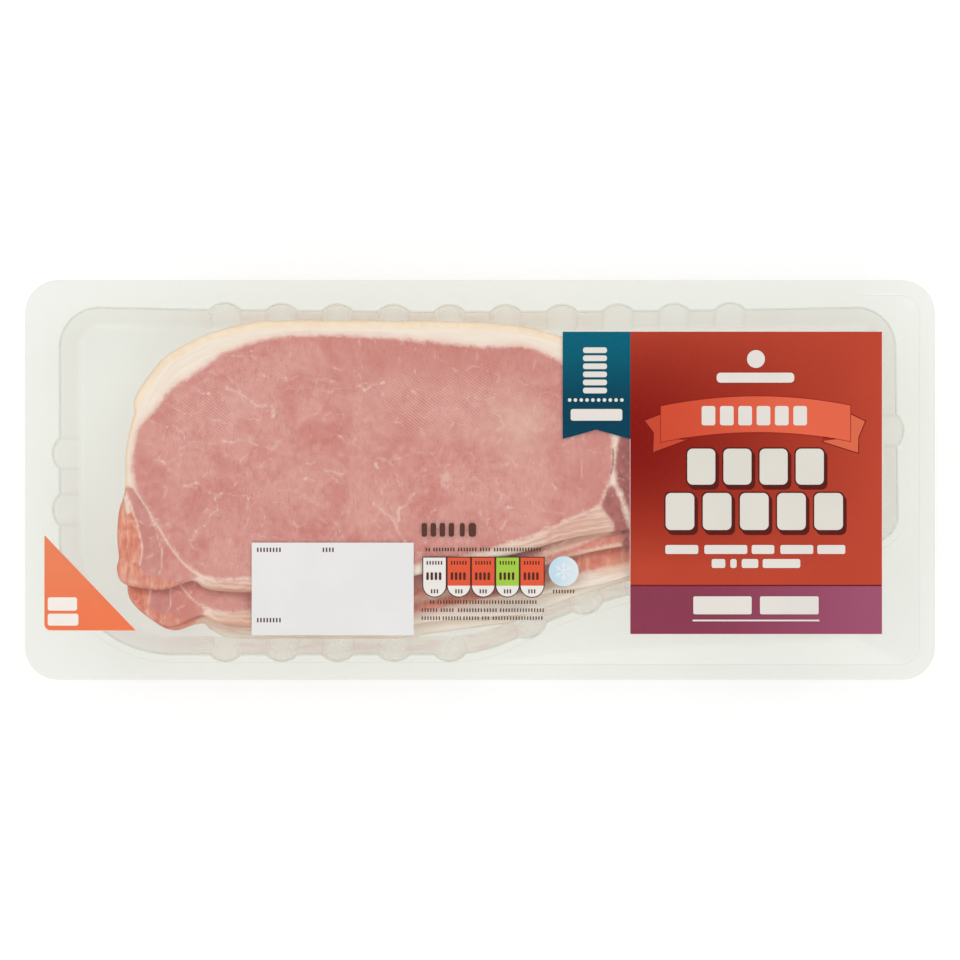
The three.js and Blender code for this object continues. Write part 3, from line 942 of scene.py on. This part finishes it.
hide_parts("lid_film")


# PRINT ON THE FILM
# Inks laid on the film one over another, each a very thin layer: a white underprint, then fields of
# colour, then bars and plain shapes where a pack has its words.
INK = 0.02
INK_STEP = 0.035
PRINT_Z = FILM_Z + FILM_SHEET + 0.02


def print_shapes(name, shapes, layer, material):
    """One ink: flat shapes on one layer, each a filled circle put on its outline, then thickened."""
    low = PRINT_Z + layer * INK_STEP
    bpy.ops.object.select_all(action="DESELECT")
    piece = None
    for shape in shapes:
        if piece:
            bpy.ops.mesh.select_all(action="DESELECT")
        bpy.ops.mesh.primitive_circle_add(
            vertices=len(shape), radius=0.01, fill_type="NGON", enter_editmode=piece is None)
        piece = bpy.context.object
        mesh = bmesh.from_edit_mesh(piece.data)
        ring = [vertex for vertex in mesh.verts if vertex.select]
        for vertex, point in zip(ring, shape):
            vertex.co = (point[0] * MM, point[1] * MM, low * MM)
        bmesh.update_edit_mesh(piece.data)
    piece.name = name
    bpy.ops.mesh.select_all(action="SELECT")
    bpy.ops.mesh.extrude_region_move(TRANSFORM_OT_translate={"value": (0, 0, INK * MM)})
    face_outwards()
    bpy.ops.object.mode_set(mode="OBJECT")
    piece.data.materials.append(material)
    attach(piece, "root")


def bar(x0, y0, x1, y1, radius=0.0):
    """A rectangle with round corners, anticlockwise."""
    if not radius:
        return [(x0, y0), (x1, y0), (x1, y1), (x0, y1)]
    corners = [(x1 - radius, y0 + radius), (x1 - radius, y1 - radius), (x0 + radius, y1 - radius),
               (x0 + radius, y0 + radius)]
    return np.vstack([arc(c, radius, a, a + 90, 7) for c, a in zip(corners, (-90, 0, 90, 180))])


def row(x, y, wide, tall, count, pitch, radius=0.0):
    """Like bars side by side."""
    return [bar(x + i * pitch, y, x + i * pitch + wide, y + tall, radius) for i in range(count)]


def strokes(x0, x1, y, tall, wide=0.4, pitch=0.85, radius=0.0):
    """Small upright strokes from x0 to x1, where a pack has a word."""
    return [bar(x, y, x + wide, y + tall, radius) for x in np.arange(x0, x1, pitch)]


def grown(shape, by):
    """A shape with its edge moved out."""
    points = np.array(shape)
    ahead = np.roll(points, -1, axis=0) - points
    across = np.column_stack([ahead[:, 1], -ahead[:, 0]]) / np.linalg.norm(ahead, axis=1)[:, None]
    corner = across + np.roll(across, 1, axis=0)
    return points + corner / (corner ** 2).sum(1)[:, None] * 2 * by


def ink(name, colour, second=None, mask=None):
    """Printing ink, a little uneven, with a second colour where the mask says."""
    material, start = new_material(name)
    place = object_place(start)
    base = paint(*colour)
    if second:
        base = mix(mask(start), base, paint(*second))
    speckle = ease(noise(place, 0.0006, 2, 0.7), 0.35, 0.75) * 0.005
    cloud = ease(noise(place, 0.016, 2), 0.35, 0.65) * 0.03
    base = mix(speckle, base, paint(255, 255, 255))
    base = mix(cloud, base, paint(0, 0, 0))
    finish_material(surface(start, {
        "Base Color": base, "Roughness": 0.5 - 0.5 * speckle, "Specular IOR Level": 0.06}))
    return material


def coordinate(start, axis):
    """One coordinate of the place on the object, in millimetres."""
    place = object_place(start, (1000, 1000, 1000))
    return start.add("ShaderNodeSeparateXYZ", {}, {"Vector": place}, axis)


def graded(axis, low, high):
    """A mask for ink that eases from 0 to 1 between two places along an axis."""
    return lambda start: ease(coordinate(start, axis), low, high)


def panel_light(start):
    """A mask that grows to the right of the panel, and to its top and bottom: partly the ink's own gradient,
    partly painted light on the panel.
    """
    x = coordinate(start, "X")
    y = coordinate(start, "Y")
    far = ((y - 12) / 34) ** 2 * 0.8
    return far + (1 - far) * ((x - 45) / 75) ** 1.4


# the panel, its band and the ribbon with a notched end
PANEL_LEFT, PANEL_RIGHT = 45.1, 120.6
PANEL_TOP, PANEL_FOOT = 44.5, -46.2
BAND_TOP = -31.6
RIBBON = [(24.8, 44.5), (24.8, 12.3), (34.9, 15.1), (PANEL_LEFT, 12.3), (PANEL_LEFT, 44.5)]
RIBBON_UNDER = [(24.9, 44.4), (24.9, 12.5), (34.9, 15.3), (45, 12.5), (45, 44.4)]
print_shapes("underprint", [bar(44.95, -46.4, 120.8, 44.7), RIBBON_UNDER], 0,
    ink("white underprint", (244, 226, 218)))
print_shapes("red_panel", [bar(PANEL_LEFT, BAND_TOP, PANEL_RIGHT, PANEL_TOP)], 1,
    ink("red ink", (135, 17, 10), (191, 70, 48), panel_light))
print_shapes("purple_band", [bar(PANEL_LEFT, PANEL_FOOT, PANEL_RIGHT, BAND_TOP)], 1,
    ink("purple ink", (140, 60, 82), (162, 84, 114), graded("X", 60, 128)))
print_shapes("blue_ribbon", [RIBBON], 2,
    ink("blue-green ink", (0, 64, 86), (0, 98, 120), graded("Y", 20, 44)))

# the banner, with its tails folded behind it
BANNER_LEFT, BANNER_RIGHT = 54.3, 111.1
BANNER_MIDDLE = 83.3
BANNER_HALF = 28.5
BANNER_TOP, BANNER_FOOT = 25.1, 14.4
BANNER_RISE = 2.9
TAILS = [
    [(49.5, 17.8), (52.2, 14.2), (52, 8.4), (62.3, 12.2), (60, 19.5), (54.9, 19.9)],
    [(110.8, 19.9), (103, 11.5), (113.4, 8.2), (113.5, 12.8), (115.5, 17.6)],
]
FOLDS = [[(56, 12.6), (62.3, 11.9), (62.3, 14)], [(102.7, 14), (102.9, 11.7), (109.2, 12.6)]]
across_banner = np.linspace(BANNER_LEFT, BANNER_RIGHT, 24)
fall = BANNER_RISE * ((across_banner - BANNER_MIDDLE) / BANNER_HALF) ** 2
banner_shape = np.vstack([
    np.column_stack([across_banner, BANNER_FOOT - fall]),
    np.column_stack([across_banner, BANNER_TOP - fall])[::-1],
])
print_shapes("banner_outline", [grown(tail, 0.28) for tail in TAILS], 2,
    ink("dark red line ink", (128, 24, 20)))
print_shapes("banner_tails", TAILS, 3,
    ink("banner shade ink", (204, 74, 50), (224, 108, 76), graded("X", 50, 115)))
print_shapes("banner_folds", [*FOLDS, grown(banner_shape, 0.2)], 4, ink("fold ink", (160, 42, 28)))
print_shapes("banner", [banner_shape], 5,
    ink("banner ink", (212, 78, 52), (232, 104, 74), graded("X", 55, 100)))

# a dark line along the edge where the panel meets the band
print_shapes("panel_band_edge_line", [bar(PANEL_LEFT, BAND_TOP - 0.25, PANEL_RIGHT, BAND_TOP + 0.15)], 2,
    ink("panel band edge ink", (112, 20, 34)))

# white bars and dots on the panel, the band and the ribbon
white_marks = row(66.5, 16.4, 4.1, 5.8, 6, 5.5, 0.7)
white_marks += [bar(64, -40.3, 81.5, -34.9, 0.5), bar(84, -40.3, 101.6, -34.9, 0.5)]
white_marks += [bar(63.8, -42.4, 101.8, -41.9)]
white_marks += [bar(71, 29.2, 94.3, 32.2, 1.2), arc((82.8, 36.3), 2.7, 0, 345, 24)]
white_marks += [arc((26.9 + i * 1.74, 24.0), 0.55, 0, 330, 12) for i in range(10)]
white_marks += [bar(30.9, 26 + i * 2.42, 38.1, 27.7 + i * 2.42, 0.7) for i in range(6)]
white_marks += [bar(27.2, 17.8, 42.7, 21.3, 0.7)]
for y, words in ((-22.2, ((55.6, 65.5), (67.3, 80.2), (81.5, 88.3), (90.1, 100), (101.2, 109.6))),
                 (-26.4, ((69.5, 73.6), (75.1, 77), (78.5, 83.5), (84.8, 96.1)))):
    white_marks += [bar(x0, y, x1, y + 2.7, 0.6) for x0, x1 in words]
print_shapes("white_marks", white_marks, 6, ink("white ink", (232, 226, 219)))

# the headline: cream blocks, each with a dark outline and a shadow below it
blocks = [(62.2 + i * 10.85, -1.4, 8.4, 10.8) for i in range(4)]
blocks += [(55.7 + i * 11.15, -15, 8.6, 11.1) for i in range(5)]
headline = [bar(x, y, x + wide, y + tall, 1.6) for x, y, wide, tall in blocks]
shadow = [bar(x + 0.5, y - 1.5, x + wide + 1.1, y + tall - 0.6, 1.8) for x, y, wide, tall in blocks]
outline = [bar(x - 0.4, y - 0.4, x + wide + 0.4, y + tall + 0.4, 1.8) for x, y, wide, tall in blocks]
print_shapes("headline_shadow", shadow, 2, ink("shadow ink", (92, 26, 22)))
print_shapes("headline_outline", outline, 3, ink("dark outline ink", (86, 30, 26)))
print_shapes("headline_blocks", headline, 4, ink("cream ink", (226, 222, 212)))

# the white panel for a price label, and the strokes of the small print
print_shapes("price_panel", [bar(-68.5, -46.6, -19.9, -18.8)], 1, ink("panel white ink", (236, 234, 233)))
small = []
for x, y, count in ((-66.9, -21.6, 6), (-61.2, -21.6, 2), (-47.2, -21.6, 4), (-66.9, -42.7, 8)):
    small += row(x, y, 0.45, 1.3, count, 0.95)
small += row(-17.5, -17, 1.6, 4.1, 4, 2.7, 0.6)
small += [bar(-6, -17, -4.6, -12.9, 0.6), bar(-3.4, -17, -1.2, -12.9, 0.8)]
for y, words in ((-21.4, ((-16.3, -15.1), (-14, -7.8), (-6.6, -1.2), (0, 3.2), (4.2, 10.2), (11, 18))),
                 (-37.2, ((-15, -13.8), (-12.8, -11), (-10.2, -4), (-3.2, 4.6), (5.4, 9.8), (10.6, 17))),
                 (-39.6, ((-17.5, -12.6), (-11.8, -10), (-9.2, -7.6), (-6.6, 0.4), (1.2, 5.2), (6, 18.8))),
                 (-42, ((-17.5, -12), (-11.2, -5.8), (-5, -0.2), (0.6, 3), (3.8, 8.2), (9, 19))),
                 (-34, ((21.9, 28.4),))):
    for x0, x1 in words:
        small += strokes(x0, x1, y, 1.1)
print_shapes("small_print", small, 2, ink("dark small ink", (92, 58, 50)))

# the row of cells with round feet
CELLS = [-17.3, -10, -2.7, 4.6, 11.9, 19.4]
CELL_TOP = -23
CELL_FOOT = -31.6
CELL_LINE = 0.28


def cell(x0, x1, inset):
    """A cell's outline, set in from its edge."""
    foot = arc(((x0 + x1) / 2, CELL_FOOT), (x1 - x0) / 2 - inset, 180, 360, 20)
    return np.vstack([foot, [(x1 - inset, CELL_TOP - inset), (x0 + inset, CELL_TOP - inset)]])


cells = list(zip(CELLS[:-1], CELLS[1:]))
fields = [bar(x0 + CELL_LINE, CELL_FOOT - 0.1, x1 - CELL_LINE, CELL_TOP - CELL_LINE) for x0, x1 in cells]
print_shapes("cell_outlines", [cell(x0, x1, 0) for x0, x1 in cells], 1, ink("brown line ink", (70, 44, 36)))
print_shapes("cell_grounds", [cell(x0, x1, CELL_LINE) for x0, x1 in cells], 2,
    ink("cell white ink", (238, 234, 228)))
print_shapes("red_cells", [fields[i] for i in (1, 2, 4)], 3, ink("cell red ink", (231, 92, 62)))
print_shapes("green_cell", [fields[3]], 3, ink("cell green ink", (166, 206, 72)))
cell_marks = []
for x0, x1 in cells:
    cell_marks += strokes(x0 + 1.3, x1 - 1.3, -25.4, 1.1)
    cell_marks += strokes(x0 + 1.2, x1 - 1.4, -30, 2.3, 0.75, 1.25, 0.3)
    cell_marks += strokes(x0 + 2.6, x1 - 2.6, -34, 1.2)
print_shapes("cell_bars", cell_marks, 4, ink("cell dark ink", (84, 46, 36)))

# a pale disc with a snowflake, its barbs a layer above its arms
DISC = np.array([25.1, -27.4])
ARM_HALF = 0.16
BARB_HALF = 0.12
print_shapes("cold_disc", [arc(DISC, 4.5, 0, 354, 48)], 1,
    ink("pale blue ink", (196, 222, 238), (226, 236, 240), graded("X", 21, 29)))
arms = []
barbs = []
for i in range(6):
    angle = math.radians(30 + 60 * i)
    along = np.array([math.cos(angle), math.sin(angle)])
    across = np.array([-along[1], along[0]])
    near, far = DISC + along * 0.2, DISC + along * 2.7
    side = across * ARM_HALF
    arms.append([near - side, far - side, far + side, near + side])
    for turn in (-1, 1):
        root = DISC + along * 1.5
        lean_out = (along + across * turn) * 0.75
        foot, tip = root + side * turn, root + lean_out
        thick = np.array([lean_out[1], -lean_out[0]]) / np.linalg.norm(lean_out) * BARB_HALF
        barbs.append([foot - thick, tip - thick, tip + thick, foot + thick])
flake_ink = ink("flake ink", (240, 244, 246))
print_shapes("snowflake", arms, 2, flake_ink)
print_shapes("snowflake_barbs", barbs, 3, flake_ink)

# the corner to peel from
peel_shape = [(-130.7, -16.5), *arc((-128.9, -43.3), 1.8, 180, 270, 8), (-103.2, -45.2)]
peel_under = [(-130.85, -16.25), (-130.85, -43.9), (-129.2, -45.3), (-102.95, -45.3)]
peel_marks = [bar(-129.7, -39.2, -120.9, -35.2, 0.7), bar(-129.7, -43.7, -120.5, -40.1, 0.7)]
print_shapes("peel_corner", [peel_shape], 1,
    ink("orange ink", (243, 124, 82), (238, 134, 94), graded("Y", -45, -20)))
print_shapes("peel_halo", [peel_under], 0, ink("peel underprint", (250, 244, 226)))
print_shapes("peel_bars", peel_marks, 2, ink("peel white ink", (250, 240, 234)))


# STUDIO
# A light table: a plain pale floor that glows a little, soft light from above and all round, and a
# camera straight over the pack.
bpy.ops.object.select_all(action="DESELECT")
bpy.ops.mesh.primitive_plane_add(size=8, location=(0, 0, -0.0002))
floor = bpy.context.object
floor.name = "floor"
floor_paint, start = new_material("floor paint")
finish_material(surface(start, {
    "Base Color": (0.5, 0.5, 0.5, 1), "Roughness": 0.9, "Specular IOR Level": 0,
    "Emission Color": (1, 1, 1, 1), "Emission Strength": 0.56}))
floor.data.materials.append(floor_paint)

world = bpy.data.worlds.new("studio")
bpy.context.scene.world = world
world.use_nodes = True
world.node_tree.nodes.clear()
sky = Wire(world.node_tree)
direction = sky.add("ShaderNodeTexCoord", output="Generated")
upward = sky.add("ShaderNodeSeparateXYZ", {}, {"Vector": direction}, "Z")
background = sky.add("ShaderNodeBackground", {}, {
    "Color": mix(ease(upward, 0.7, 0.9), (0.46, 0.46, 0.46, 1), (1.12, 1.12, 1.12, 1))})
world_out = world.node_tree.nodes.new("ShaderNodeOutputWorld")
world.node_tree.links.new(background.socket, world_out.inputs["Surface"])

for x, y, power in ((-1.8, 1.6, 16), (1.8, 1.6, 15), (0, -2.3, 15.5)):
    bpy.ops.object.light_add(type="AREA", location=(x, y, 2.2))
    lamp = bpy.context.object
    lamp.data.shape = "SQUARE"
    lamp.data.size = 1.4
    lamp.data.energy = power
    lamp.rotation_euler = (-lamp.location).to_track_quat("-Z", "Y").to_euler()

bpy.ops.object.camera_add(location=(0, 0, 3), rotation=(0, 0, 0))
camera = bpy.context.object
camera.data.sensor_width = 36
camera.data.lens = 372
camera.data.clip_end = 20
scene = bpy.context.scene
scene.camera = camera
scene.view_settings.view_transform = "Standard"
scene.cycles.transparent_max_bounces = 32
